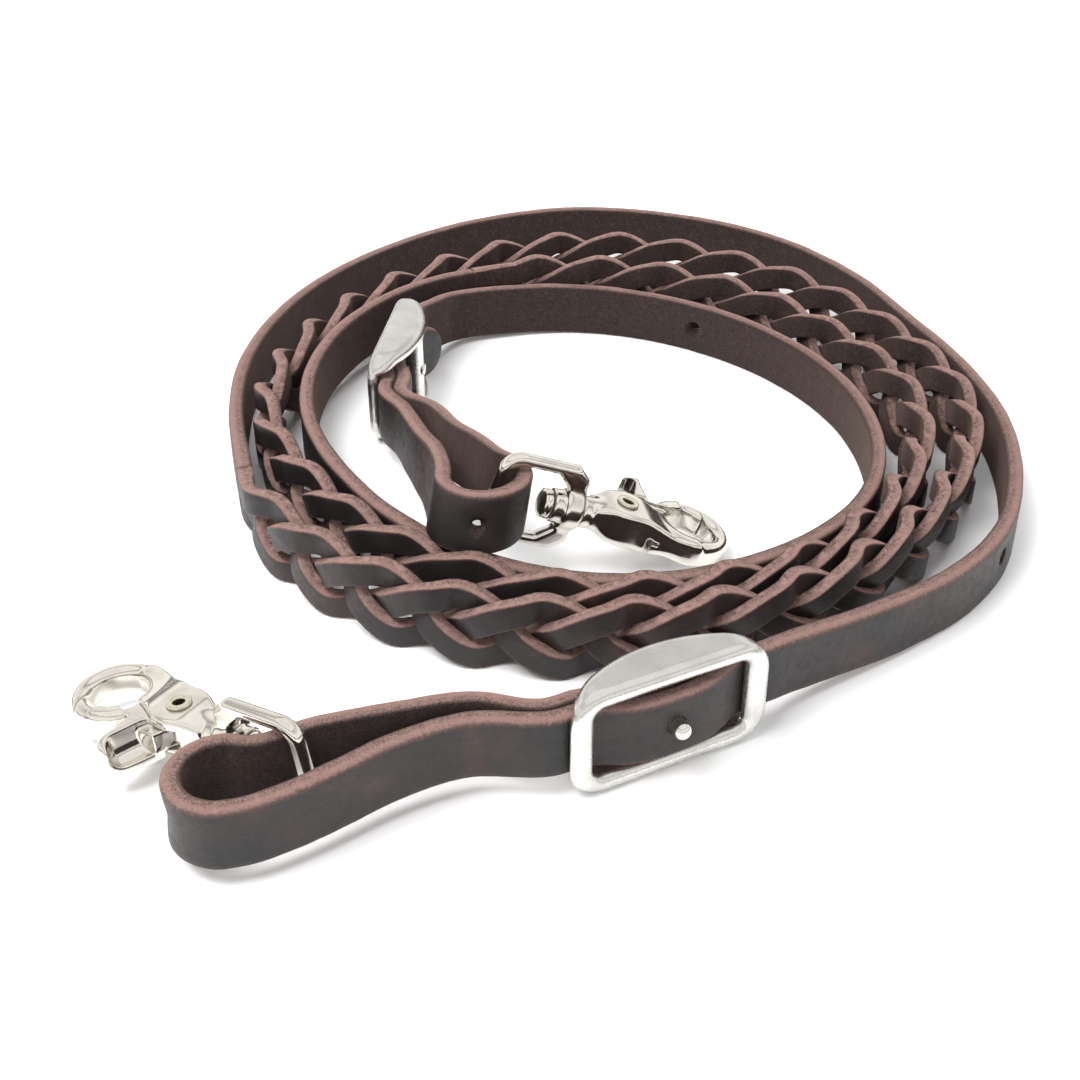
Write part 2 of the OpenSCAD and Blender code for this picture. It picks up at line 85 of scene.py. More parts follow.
# lay of the coil every 30 degrees: radius, height of the strap's centre
LAY_START, LAY_STEP = -30.0, 30.0
FIRST_TURN = [(121.2, 8), (119.2, 8), (121.2, 8), (141.8, 8), (149.8, 8), (132.4, 8),
              (112.8, 8.4), (99.4, 9.6), (98, 10.8)]
OUTER_BRAID = [(98.3, 10.8), (99.5, 10.8), (101, 10.8), (103, 10.8), (108.5, 10.8),
               (107, 10.8), (111, 10.8), (114, 10.8), (102.4, 10.8), (94.6, 10.8),
               (90.6, 10.8), (83.6, 10.8)]
INNER_BRAID = [(84.7, 10.8), (89.7, 10.8), (91.7, 10.8), (92.8, 10.8), (94.2, 10.8),
               (90, 10.8), (91, 11.2), (91.4, 12.2), (92, 13), (86.2, 12.6),
               (79, 10.6), (73.2, 8.8)]
LAST_TURN = [(75.2, 8), (81.6, 8), (84.4, 8), (85.4, 8), (81.3, 8),
             (78.6, 8), (79.4, 8), (83.1, 8.4), (83, 10.6)]
LAY = np.array(FIRST_TURN + OUTER_BRAID + INNER_BRAID + LAST_TURN, float)


# ---------------------------------------------------------------- curves
def unit(v):
    return v / np.linalg.norm(v, axis=-1, keepdims=True)


def polar(r, a):
    return np.array([r * math.cos(math.radians(a)), r * math.sin(math.radians(a))])


def ease(t):
    t = np.clip(t, 0.0, 1.0)
    return t * t * (3 - 2 * t)


def beside(buckle, heading, x, y):
    """Point beside a buckle: x along the strap, y behind the end bars."""
    return buckle + polar(x, heading) + polar(y, heading + 90)


def knot(p, z, tilt=(0.0, 0.0)):
    """Control point of a strap: place, height, and how far its upper edge leans."""
    return np.array([p[0], p[1], z, tilt[0], tilt[1]], float)


def hermite(a, b, u, v, t):
    return (a * (1 + 2 * t) * (1 - t) ** 2 + u * t * (1 - t) ** 2
            + b * t * t * (3 - 2 * t) + v * t * t * (t - 1))


def smooth(points, piece):
    """Smooth curve through control points, each span cut into equal pieces."""
    p = np.array(points)
    d = np.linalg.norm(np.diff(p[:, :3], axis=0), axis=1)
    chord = np.diff(p, axis=0) / d[:, None]
    speed = [chord[0]]
    for i in range(1, len(p) - 1):
        speed.append((chord[i] * d[i - 1] + chord[i - 1] * d[i]) / (d[i] + d[i - 1]))
    speed.append(chord[-1])
    rows = []
    for i in range(len(d)):
        n = max(1, round(d[i] / piece))
        for j in range(n):
            rows.append(hermite(p[i], p[i + 1], speed[i] * d[i], speed[i + 1] * d[i], j / n))
    rows.append(p[-1])
    return np.array(rows)


def lay_slope(i):
    """Change of radius and height at a knot of the lay, for each step of it."""
    a, b = max(i - 1, 0), min(i + 1, len(LAY) - 1)
    return (LAY[b] - LAY[a]) / (b - a)


def on_lay(a):
    """The strap's centre at angle a of the coil."""
    q = (a - LAY_START) / LAY_STEP
    i = min(max(math.floor(q), 0), len(LAY) - 2)
    k = hermite(LAY[i], LAY[i + 1], lay_slope(i), lay_slope(i + 1), q - i)
    return knot(polar(k[0], a), k[1])


# ---------------------------------------------------------------- strap centre lines
LEAN = np.array([0.17, 0.19])    # tilt of the raised inner loop
# the strap's way through a buckle, as x and y of beside()
OVER_BARS = [(-26, 2.7), (-19, 2.35), (-9, -1.6), (0, STUD_Y), (9, -1.6), (19, 2.35), (26, 2.7)]
UNDER_BARS = [(18, 9.8), (9, 4.9), (0, 2), (-9, 2.95), (-19, 6.9), (-26, 7.3)]


def at_bars(buckle, heading, places, flip=1):
    return [knot(beside(buckle, heading, flip * x, y), MID) for x, y in places]


def outer_knots():
    k = at_bars(BUCKLE_1, HEAD_1, UNDER_BARS)
    k += [knot((-27.5, -133.5), 13.4), knot((-45, -136.9), 13), knot((-60, -141.2), 12.9)]
    k += [knot(FOLD_1 + polar(FOLD_R, a), FOLD_Z_1) for a in range(70, 295, 28)]
    k += [knot((-63.6, -161.6), 12.7), knot((-53.6, -154.6), 12.8), knot((-43, -147.2), 13.2),
          knot((-28.6, -140.9), 13.6)]
    k += at_bars(BUCKLE_1, HEAD_1, OVER_BARS)
    k += [knot((44, -111.4), 12.6), knot((58.6, -101.4), 10.4), knot((76.6, -89), 8.6),
          knot(polar(119.4, -41), 8)]
    k += [on_lay(a) for a in np.arange(LAY_START, BRAID_FROM - 6, LAY_STEP / 2)]
    return k + [on_lay(BRAID_FROM - 0.3)]


def inner_knots():
    k = [on_lay(BRAID_TO + 0.3)]
    k += [on_lay(a) for a in np.arange(840, 1186, LAY_STEP / 2)]
    k += [knot((-40.8, 72.2), 10.8), knot((-47, 62.4), 12.8)]
    k += at_bars(BUCKLE_2, HEAD_2, OVER_BARS)
    k += [knot((-50.8, -10.7), 15.8, LEAN / 4), knot((-45, -30.4), 19.4, LEAN / 2),
          knot((-40, -47), 22.8, LEAN)]
    k += [knot(FOLD_2 + polar(FOLD_R, a), FOLD_Z_2, LEAN) for a in range(170, 395, 28)]
    k += [knot((-23.9, -49.6), 24, LEAN), knot((-29.6, -38.6), 22.2, LEAN * 0.7),
          knot((-35.6, -27.4), 19.6, LEAN / 2), knot((-42.4, -11), 16.4, LEAN / 4)]
    return k + at_bars(BUCKLE_2, HEAD_2, UNDER_BARS, -1)[::-1]


# ---------------------------------------------------------------- node helpers
class Nodes:
    """Small helper that wires up one material."""

    def __init__(self, name):
        self.material = bpy.data.materials.new(name)
        self.material.use_nodes = True
        self.tree = self.material.node_tree
        self.bsdf = self.tree.nodes["Principled BSDF"]

    def put(self, socket, value):
        if isinstance(value, bpy.types.NodeSocket):
            self.tree.links.new(value, socket)
        elif value is not None:
            if isinstance(value, tuple) and len(value) == 3 and len(socket.default_value) == 4:
                value = (*value, 1.0)
            socket.default_value = value

    def set(self, **values):
        for key, value in values.items():
            self.put(self.bsdf.inputs[key.replace("_", " ")], value)

    def math(self, op, a, b=None):
        n = self.tree.nodes.new("ShaderNodeMath")
        n.operation = op
        self.put(n.inputs[0], a)
        self.put(n.inputs[1], b)
        return n.outputs[0]

    def remap(self, v, a, b, c=0.0, d=1.0):
        n = self.tree.nodes.new("ShaderNodeMapRange")
        n.interpolation_type = "SMOOTHSTEP"
        for i, x in enumerate((v, a, b, c, d)):
            self.put(n.inputs[i], x)
        return n.outputs[0]

    def mix(self, t, a, b):
        n = self.tree.nodes.new("ShaderNodeMix")
        n.data_type = "RGBA"
        self.put(n.inputs[0], t)
        self.put(n.inputs[6], a)
        self.put(n.inputs[7], b)
        return n.outputs[2]

    def blend(self, t, a, b):
        n = self.tree.nodes.new("ShaderNodeMix")
        self.put(n.inputs[0], t)
        self.put(n.inputs[2], a)
        self.put(n.inputs[3], b)
        return n.outputs[0]

    def place(self):
        return self.tree.nodes.new("ShaderNodeTexCoord").outputs["Object"]

    def uv(self):
        n = self.tree.nodes.new("ShaderNodeUVMap")
        n.uv_map = "along"
        return n.outputs[0]

    def split(self, v):
        n = self.tree.nodes.new("ShaderNodeSeparateXYZ")
        self.put(n.inputs[0], v)
        return n.outputs

    def stretch(self, v, scale):
        n = self.tree.nodes.new("ShaderNodeMapping")
        self.put(n.inputs[0], v)
        n.inputs["Scale"].default_value = scale
        return n.outputs[0]

    def noise(self, v, scale, detail=4.0, rough=0.55, warp=0.0):
        n = self.tree.nodes.new("ShaderNodeTexNoise")
        self.put(n.inputs["Vector"], v)
        n.inputs["Scale"].default_value = scale
        n.inputs["Detail"].default_value = detail
        n.inputs["Roughness"].default_value = rough
        n.inputs["Distortion"].default_value = warp
        return n.outputs[0]

    def cells(self, v, scale):
        n = self.tree.nodes.new("ShaderNodeTexVoronoi")
        self.put(n.inputs["Vector"], v)
        n.inputs["Scale"].default_value = scale
        return n.outputs["Distance"]

    def bump(self, height, depth):
        n = self.tree.nodes.new("ShaderNodeBump")
        n.inputs["Distance"].default_value = depth
        n.inputs["Strength"].default_value = 1.0
        self.put(n.inputs["Height"], height)
        return n.outputs[0]


GRAIN_DEEP, GRAIN_LIFTED = (0.0115, 0.0100, 0.0098), (0.0260, 0.0180, 0.0165)
GRAIN_PULLED = (0.070, 0.026, 0.020)
GRAIN_RIM = (0.115, 0.062, 0.052)
CUT_DEEP, CUT_PALE = (0.058, 0.035, 0.031), (0.240, 0.158, 0.140)
CUT_CLOTTED = (0.310, 0.195, 0.170)
CUT_PINK = (0.280, 0.172, 0.152)
CUT_LINE = (0.050, 0.034, 0.031)
NAP_DEEP, NAP_PALE = (0.014, 0.0105, 0.0098), (0.052, 0.037, 0.034)
NAP_CLOTTED = (0.085, 0.050, 0.044)
FUZZ_SHEEN = (0.62, 0.42, 0.36)


# Across a section, the second UV coordinate runs from 0 to 4: grain face 0-1, top edge 1-2,
# flesh face 2-3, bottom edge 3-4.  The first one is the running length in metres.
def leather(name, worn):
    """Dark oiled leather: smooth grain, red-brown fuzzy cut edges, velvety flesh side.
    worn is how much of a cut edge has gone pale."""
    m = Nodes(name)
    p = m.place()
    v = m.split(m.uv())[1]
    ragged = m.math("MULTIPLY", m.math("SUBTRACT", m.noise(p, 1300, 5), 0.5), 0.12)
    v = m.math("ADD", v, ragged)
    # 1 on the two cut edges
    top = m.math("MULTIPLY", m.remap(v, 0.97, 1.08), m.remap(v, 2.02, 1.94))
    bottom = m.remap(v, 2.97, 3.08)
    foot = m.math("MULTIPLY", bottom, m.remap(v, 4.02, 3.96))
    edge = m.math("MAXIMUM", top, foot)
    flesh = m.math("MULTIPLY", m.remap(v, 1.9, 2.02), m.remap(v, 3.1, 2.98))

    cloud = m.noise(p, 38, 4, 0.55, 0.4)
    mottle = m.noise(p, 210, 5, 0.6)
    grain = m.mix(m.remap(cloud, 0.35, 0.7), GRAIN_DEEP, GRAIN_LIFTED)
    # faint red patches, where oil has been pulled up
    pulled = m.math("MULTIPLY", m.remap(cloud, 0.52, 0.72), m.remap(mottle, 0.42, 0.62))
    grain = m.mix(m.math("MULTIPLY", pulled, 0.55), grain, GRAIN_PULLED)
    # dye wears off towards the cut edges
    rim = m.math("MULTIPLY", m.remap(m.math("ABSOLUTE", m.math("SUBTRACT", v, 0.5)), 0.41, 0.50),
                 m.remap(v, 1.2, 1.0))
    grain = m.mix(m.math("MULTIPLY", rim, 0.40), grain, GRAIN_RIM)

    fibre = m.noise(p, 2300, 4, 0.75)
    clots = m.noise(p, 520, 5, 0.65)
    raw = m.mix(m.remap(fibre, 0.36, 0.66), CUT_DEEP, CUT_PALE)
    raw = m.mix(m.math("MULTIPLY", m.remap(clots, 0.42, 0.68), worn), raw, CUT_CLOTTED)
    # the dyed side of a cut edge stays pinker and smoother
    near_grain = m.math("MULTIPLY", m.remap(v, 1.62, 1.22), m.remap(v, 0.9, 1.1))
    raw = m.mix(m.math("MULTIPLY", near_grain, 0.55), raw, CUT_PINK)
    dark_line = m.math("MULTIPLY", m.remap(v, 1.78, 1.93), m.remap(v, 2.1, 1.95))
    raw = m.mix(m.math("MULTIPLY", dark_line, 0.6), raw, CUT_LINE)
    nap = m.mix(m.remap(fibre, 0.3, 0.7), NAP_DEEP, NAP_PALE)
    nap = m.mix(m.remap(clots, 0.5, 0.75, 0.0, 0.5), nap, NAP_CLOTTED)
    colour = m.mix(edge, grain, raw)
    colour = m.mix(flesh, colour, nap)

    fuzzy = m.math("MAXIMUM", edge, flesh)
    pores = m.cells(p, 1900)
    creases = m.noise(p, 430, 6, 0.65, 0.7)
    smooth_rough = m.remap(creases, 0.3, 0.75, 0.42, 0.58)
    m.set(Base_Color=colour, Roughness=m.blend(fuzzy, smooth_rough, 0.92),
          Specular_IOR_Level=m.blend(fuzzy, 0.46, 0.16),
          Sheen_Weight=m.math("MULTIPLY", fuzzy, 0.22), Sheen_Roughness=0.45,
          Sheen_Tint=FUZZ_SHEEN)
    skin = m.math("ADD", m.math("MULTIPLY", pores, 0.35), m.math("MULTIPLY", creases, 0.9))
    pile = m.math("ADD", m.math("MULTIPLY", fibre, 2.2), m.math("MULTIPLY", clots, 1.2))
    m.set(Normal=m.bump(m.blend(fuzzy, skin, pile), 0.12 * MM))
    return m.material


# colour of the painted shade laid into the recesses of metal
RECESS_SHADE_COLOUR = (0.10, 0.085, 0.07)


def metal(name, colour, rough, wave, recess_shade_amount):
    """Plated casting: slightly wavy skin, fine hairlines, uneven polish, and painted shade that makes
    recesses darker and duller.
    """
    m = Nodes(name)
    p = m.place()
    cloud = m.noise(p, 130, 4)
    hair = m.noise(m.stretch(p, (1.0, 6.0, 1.0)), 900, 5, 0.7)
    swell = m.noise(p, 95, 2, 0.4)
    pits = m.cells(p, 2400)
    shade = tuple(c * 0.86 for c in colour)
    tint = m.mix(m.remap(cloud, 0.35, 0.7), colour, shade)
    # painted shade: ambient occlusion finds the recesses, which are painted darker and made less
    # metallic and rougher
    recess = m.tree.nodes.new("ShaderNodeAmbientOcclusion")
    recess.samples = 6
    recess.inputs["Distance"].default_value = 2.2 * MM
    recess_shade = m.math("MULTIPLY", m.remap(recess.outputs["AO"], 0.62, 0.15), recess_shade_amount)
    tint = m.mix(recess_shade, tint, RECESS_SHADE_COLOUR)
    uneven = m.math("ADD", m.math("MULTIPLY", hair, 0.6), m.math("MULTIPLY", cloud, 0.4))
    polish = m.remap(uneven, 0.3, 0.75, rough, rough + 0.10)
    m.set(Base_Color=tint, Metallic=m.blend(recess_shade, 1.0, 0.5),
          Roughness=m.blend(recess_shade, polish, 0.65))
    height = m.math("ADD", m.math("MULTIPLY", swell, wave),
                    m.math("ADD", m.math("MULTIPLY", hair, 0.03), m.math("MULTIPLY", pits, 0.02)))
    m.set(Normal=m.bump(height, 0.25 * MM))
    return m.material


STRAP_LEATHER = leather("strap_leather", 0.35)
BRAID_LEATHER = leather("braid_leather", 0.8)
# last number: how strongly the painted shade darkens the recesses
SATIN = metal("buckle_nickel", (0.74, 0.73, 0.70), 0.24, 0.5, 0.5)
POLISHED = metal("snap_nickel", (0.82, 0.785, 0.72), 0.08, 0.45, 0.7)
BRASSY = metal("rivet_brass", (0.80, 0.75, 0.62), 0.13, 0.3, 0.6)
WIRE = metal("spring_steel", (0.50, 0.50, 0.52), 0.25, 0.2, 0.3)


# ---------------------------------------------------------------- swept leather
# where each face or corner of a section begins, on the second UV coordinate
SEAMS = (0.05, 0.95, 1.15, 1.9, 2.05, 2.95, 3.1, 3.85, 4.05)
FLESH_V, EDGE_V = 2.4, 1.5       # what the wall of a hole and the end of a strap look like


def section(a, b, grain_r, flesh_r, faces=9, corner=4, sides=4):
    """Closed outline of a strap as rows [out, up, v], with out from -b to b and up from -a to a."""
    rows = []

    def run(part, n, o0, s0, o1, s1):
        v0, v1 = SEAMS[part:part + 2]
        for i in range(n):
            t = i / n
            rows.append((o0 + (o1 - o0) * t, s0 + (s1 - s0) * t, v0 + (v1 - v0) * t))

    def bend(part, o, s, r, start):
        v0, v1 = SEAMS[part:part + 2]
        for i in range(corner):
            t = i / corner
            w = math.radians(start + 90 * t)
            rows.append((o + r * math.cos(w), s + r * math.sin(w), v0 + (v1 - v0) * t))

    g, f = grain_r, flesh_r
    run(0, faces, b, g - a, b, a - g)
    bend(1, b - g, a - g, g, 0)
    run(2, sides, b - g, a, f - b, a)
    bend(3, f - b, a - f, f, 90)
    run(4, faces, -b, a - f, -b, f - a)
    bend(5, f - b, f - a, f, 180)
    run(6, sides, f - b, -a, b - g, -a)
    bend(7, b - g, g - a, g, 270)
    return np.array(rows)


def flow(centres):
    """Unit tangents of a line of points."""
    return unit(np.gradient(centres, axis=0))


def running(centres):
    """Running length at each of a line of points."""
    return np.concatenate([[0], np.cumsum(np.linalg.norm(np.diff(centres, axis=0), axis=1))])


def sweep(name, centres, ups, shape, material, warp, start=0.0):
    """Closed tube of leather.  shape(s) gives the section rows at running length s, and
    warp(point, v) tells how far a point stands out of its section, in millimetres."""
    t = flow(centres)
    side = unit(ups - t * np.sum(t * ups, axis=1, keepdims=True))
    out = np.cross(t, side)
    s = running(centres)
    bm = bmesh.new()
    layer = bm.loops.layers.uv.new("along")
    rings, vs = [], []
    for i, c in enumerate(centres):
        rows = shape(s[i])
        ring = []
        for j, (o, h, v) in enumerate(rows):
            before, after = rows[j - 1], rows[(j + 1) % len(rows)]
            normal = np.array([after[1] - before[1], before[0] - after[0]])
            normal = normal / (np.linalg.norm(normal) + 1e-9)
            world_normal = out[i] * normal[0] + side[i] * normal[1]
            point = c + out[i] * o + side[i] * h
            point = point + world_normal * warp(point, v)
            ring.append(bm.verts.new(Vector(point) * MM))
        rings.append(ring)
        vs.append([r[2] for r in rows])
    count = len(rings[0])
    for i in range(len(rings) - 1):
        for j in range(count):
            k = (j + 1) % count
            face = bm.faces.new((rings[i][j], rings[i][k], rings[i + 1][k], rings[i + 1][j]))
            v0 = vs[i][j]
            v1 = vs[i][k] if k else SEAMS[-1]
            for loop, u, v in zip(face.loops, (s[i], s[i], s[i + 1], s[i + 1]), (v0, v1, v1, v0)):
                loop[layer].uv = ((start + u) * MM, v)
            face.smooth = True
    for ring, order in ((rings[0], -1), (rings[-1], 1)):
        cap = bm.faces.new(ring[::order])
        for loop in cap.loops:
            loop[layer].uv = (0, EDGE_V)
    bmesh.ops.triangulate(bm, faces=[f for f in bm.faces if len(f.verts) > 4])
    bmesh.ops.recalc_face_normals(bm, faces=bm.faces)
    return add_piece(name, bm, material)


def add_piece(name, bm, material):
    """New object from a bmesh, which is freed."""
    mesh = bpy.data.meshes.new(name)
    bm.to_mesh(mesh)
    bm.free()
    mesh.materials.append(material)
    obj = bpy.data.objects.new(name, mesh)
    SCENE.collection.objects.link(obj)
    return obj


def apply_modifiers(obj):
    """Bakes the modifiers of obj into its mesh."""
    bpy.context.view_layer.update()
    done = bpy.data.meshes.new_from_object(obj.evaluated_get(bpy.context.evaluated_depsgraph_get()))
    obj.modifiers.clear()
    old = obj.data
    obj.data = done
    bpy.data.meshes.remove(old)
    for polygon in obj.data.polygons:
        polygon.use_smooth = True


def turned(axis, degrees):
    return Matrix.Rotation(math.radians(degrees), 4, axis)


def hole_cutter(heading, r):
    """Hourglass cutter at the origin: the punched wall flares a little at both surfaces."""
    skin, flare, reach, reach_r = STRAP_T / 2, r + 0.75, 5.0, r + 1.6
    profile = [(-reach, reach_r), (-skin - 0.25, flare), (-skin + 0.7, r),
               (skin - 0.7, r), (skin + 0.25, flare), (reach, reach_r)]
    bm = bmesh.new()
    layer = bm.loops.layers.uv.new("along")
    n = 40
    place = turned("Z", heading)
    around = [2 * math.pi * i / n for i in range(n)]
    rings = []
    for x, radius in profile:
        ring = [(x, radius * math.cos(w), radius * math.sin(w)) for w in around]
        rings.append([bm.verts.new(place @ Vector(p) * MM) for p in ring])
    for a, b in zip(rings, rings[1:]):
        for i in range(n):
            bm.faces.new((a[i], a[(i + 1) % n], b[(i + 1) % n], b[i]))
    bm.faces.new(rings[0])
    bm.faces.new(rings[-1])
    bmesh.ops.recalc_face_normals(bm, faces=bm.faces)
    for face in bm.faces:
        for loop in face.loops:
            loop[layer].uv = (0.0, FLESH_V)
    return bm


def punch(obj, holes):
    """Cuts the punched holes: each is (x, y, z, heading of its axis, radius)."""
    for i, (x, y, z, heading, r) in enumerate(holes):
        bm = hole_cutter(heading, r)
        bmesh.ops.translate(bm, verts=bm.verts, vec=Vector((x, y, z)) * MM)
        cutter = add_piece(f"{obj.name}_cutter_{i}", bm, obj.data.materials[0])
        mod = obj.modifiers.new("hole", "BOOLEAN")
        mod.operation = "DIFFERENCE"
        mod.solver = "EXACT"
        mod.object = cutter
        apply_modifiers(obj)
        bpy.data.objects.remove(cutter)


def fuzz(point, v):
    """Uneven skin: slow waves on the faces, fibres standing off the cut edges."""
    q = Vector(point)
    slow = 0.16 * noise.noise(q * 0.09) + 0.05 * noise.noise(q * 0.35)
    edge = max(0.0, 1 - abs(v - 1.55) / 0.45) + max(0.0, 1 - abs(v - 3.5) / 0.45)
    return slow + edge * (0.16 * noise.noise(q * 1.1) + 0.07 * noise.noise(q * 2.7))


def dimple(point, v, holes):
    """Leather drawn in round the punched holes, on the grain side."""
    if v > 1.0:
        return 0.0
    deepest, margin = 0.75, 1.3
    depth = 0.0
    for x, y, z, _, r in holes:
        d = math.dist(point, (x, y, z)) - STRAP_T / 2 * 0.4
        depth += deepest * math.exp(-((d / (r + margin)) ** 2))
    return -depth


def strap(name, path, holes, tongue_at_start):
    """Plain strap along a path, with punched holes and a rounded tongue."""
    centres = path[:, :3]
    ups = np.concatenate([path[:, 3:5], np.ones((len(path), 1))], axis=1)
    total = running(centres)[-1]
    full = section(STRAP_W / 2, STRAP_T / 2, GRAIN_EDGE_R, FLESH_EDGE_R)
    round_r = STRAP_W / 2
    tip_half, tip_thin = 1.25, 0.72

    def shape(s):
        d = s if tongue_at_start else total - s
        if d >= round_r:
            return full
        k = math.sqrt(max(0.0, 1 - (1 - d / round_r) ** 2))
        half = max(k * STRAP_W / 2, tip_half)
        return section(half, STRAP_T / 2 * (tip_thin + 0.28 * k), min(GRAIN_EDGE_R, half * 0.9),
                       min(FLESH_EDGE_R, half * 0.6))

    def warp(point, v):
        return fuzz(point, v) + dimple(point, v, holes)

    obj = sweep(name, centres, ups, shape, STRAP_LEATHER, warp)
    punch(obj, holes)
    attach(obj, "reins")
    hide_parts(name[:name.rindex("_")])


def fine_tip(path, at_start):
    """Puts closer points over the last few millimetres, for the rounded tongue."""
    tip, tip_length = (0.15, 0.5, 1.0, 1.6, 2.3, 3.1), 3.6
    s = running(path[:, :3])
    keep = s if at_start else s[-1] - s
    extra = []
    for d in tip:
        at = d if at_start else s[-1] - d
        extra.append([np.interp(at, s, path[:, i]) for i in range(5)])
    rest = path[(keep > tip_length) | (keep == 0)]
    both = np.concatenate([rest, np.array(extra)])
    order = np.argsort([nearest(s, path, p) for p in both])
    return both[order]


def nearest(s, path, p):
    """Running length of the point of a path that lies nearest to p."""
    d = np.linalg.norm(path[:, :3] - p[:3], axis=1)
    i = int(np.argmin(d))
    best = (1e9, s[i])
    for j in (i - 1, i):
        if 0 <= j < len(path) - 1:
            a, b = path[j, :3], path[j + 1, :3]
            t = float(np.clip(np.dot(p[:3] - a, b - a) / np.dot(b - a, b - a), 0, 1))
            gap = np.linalg.norm(a + (b - a) * t - p[:3])
            best = min(best, (gap, s[j] + (s[j + 1] - s[j]) * t))
    return best[1]


PIECE = 1.0                      # length between two sections
OUTER_PATH = fine_tip(smooth(outer_knots(), PIECE), True)
INNER_PATH = fine_tip(smooth(inner_knots(), PIECE), False)

# holes at the stud, at the fold and in the coil: centre, heading of the axis, radius
OUTER_HOLES = [
    (*beside(BUCKLE_1, HEAD_1, 0, STUD_Y), MID, HEAD_1 + 90, STUD_HOLE_R),
    (*(FOLD_1 + polar(FOLD_R, 195)), FOLD_Z_1, 195, HOLE_R),
    (*polar(121.2, -30), 8, -30, HOLE_R),
]
INNER_HOLES = [
    (*beside(BUCKLE_2, HEAD_2, 0, STUD_Y), MID, HEAD_2 + 90, STUD_HOLE_R),
    (*(FOLD_2 + polar(FOLD_R, 270)), FOLD_Z_2, 270, INNER_FOLD_HOLE_R),
    (*polar(79.7, 61.5), 8, 61.5, HOLE_R),
]
strap("outer_strap_leather", OUTER_PATH, OUTER_HOLES, True)
strap("inner_strap_leather", INNER_PATH, INNER_HOLES, False)


# ---------------------------------------------------------------- braid
ANGLES = np.arange(BRAID_FROM, BRAID_TO + 0.01, 0.5)
BRAID_LINE = np.array([on_lay(a)[:3] for a in ANGLES])
BRAID_RUN = running(BRAID_LINE)
BRAID_LEN = BRAID_RUN[-1]
REPEAT_LEN = (BRAID_LEN - 2 * SPLIT) / REPEATS
STEPS_IN_REPEAT = 44             # sections along one repeat
FIRST_PHASE = 60                 # degrees, so that the strands start in three bands


def braid_frame(s):
    """Centre of the lay and its outward direction at running length s."""
    a = float(np.interp(s, BRAID_RUN, ANGLES))
    t = unit(on_lay(a + 1)[:3] - on_lay(a - 1)[:3])
    return on_lay(a)[:3], unit(np.array([t[1], -t[0], 0]))


def strand_offset(s, shift):
    """How far a strand lies up and out from the middle of the braid."""
    last = REPEATS * 360 + FIRST_PHASE + shift
    u = (s - SPLIT) / REPEAT_LEN * 360 + FIRST_PHASE + shift
    held = math.radians(min(max(u, FIRST_PHASE + shift), last))
    # k is 0 in the strap and 1 in the braid
    k = float(ease(s / SPLIT) * ease((BRAID_LEN - s) / SPLIT))
    flat = BAND * np.sign(round(math.sin(held)))
    # a sine with broader tops, so that a strand lies flat where it is seen
    cross = math.sin(2 * held)
    cross *= math.sqrt(1.4 / (cross * cross + 0.4))
    return SWING * math.sin(held) * k + flat * (1 - k), WEAVE * cross * k, k


def strand(number, shift):
    """One strand of the braid, its path shifted in degrees of a repeat."""
    count = round(BRAID_LEN / REPEAT_LEN * STEPS_IN_REPEAT)
    lengths = np.linspace(0, BRAID_LEN, count + 1)
    centres, outs, ks = [], [], []
    for s in lengths:
        c, outward = braid_frame(s)
        up, away, k = strand_offset(s, shift)
        centres.append(c + np.array([0, 0, up]) + outward * away)
        outs.append(outward)
        ks.append(k)
    centres, outs = np.array(centres), np.array(outs)
    ups = unit(np.cross(outs, flow(centres)))
    along = running(centres)
    sections = {}

    def shape(s):
        k = round(float(np.interp(s, along, ks)), 3)
        if k not in sections:
            a = (BAND - 0.1) / 2 * (1 - k) + STRAND_W / 2 * k
            b = STRAP_T / 2 * (1 - k) + STRAND_T / 2 * k
            sections[k] = section(a, b, 0.25 + 0.35 * k, 0.2 + 0.25 * k, 5, 3, 3)
        return sections[k]

    def warp(point, v):
        # another stretch of noise for each strand
        q = Vector(point) + Vector((0, 0, 40 * number))
        return 0.7 * fuzz(q, v) - 0.06

    obj = sweep(f"braid_strand_{number}_leather", centres, ups, shape, BRAID_LEATHER, warp,
                200.0 * number)
    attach(obj, "reins")
    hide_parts(f"braid_strand_{number}")


for index, phase in enumerate((0, 120, 240)):
    strand(index + 1, phase)


# ---------------------------------------------------------------- cast metal
# A casting is a signed distance f(x, y, z) in its own axes, negative inside the metal,
# so that its parts can flow into one another and every edge can be eased.
def distance_to(x, y, corners):
    """Signed distance to a polygon."""
    nearest_2 = np.full(np.broadcast_shapes(np.shape(x), np.shape(y)), 1e9)
    odd = np.zeros(nearest_2.shape, bool)
    for (ax, ay), (bx, by) in zip(corners, corners[1:] + corners[:1]):
        ex, ey = bx - ax, by - ay
        wx, wy = x - ax, y - ay
        t = np.clip((wx * ex + wy * ey) / (ex * ex + ey * ey), 0, 1)
        nearest_2 = np.minimum(nearest_2, (wx - ex * t) ** 2 + (wy - ey * t) ** 2)
        crosses = (y >= ay) != (y >= by)
        odd ^= crosses & ((ex * wy > ey * wx) == (by > ay))
    return np.where(odd, -1, 1) * np.sqrt(nearest_2)


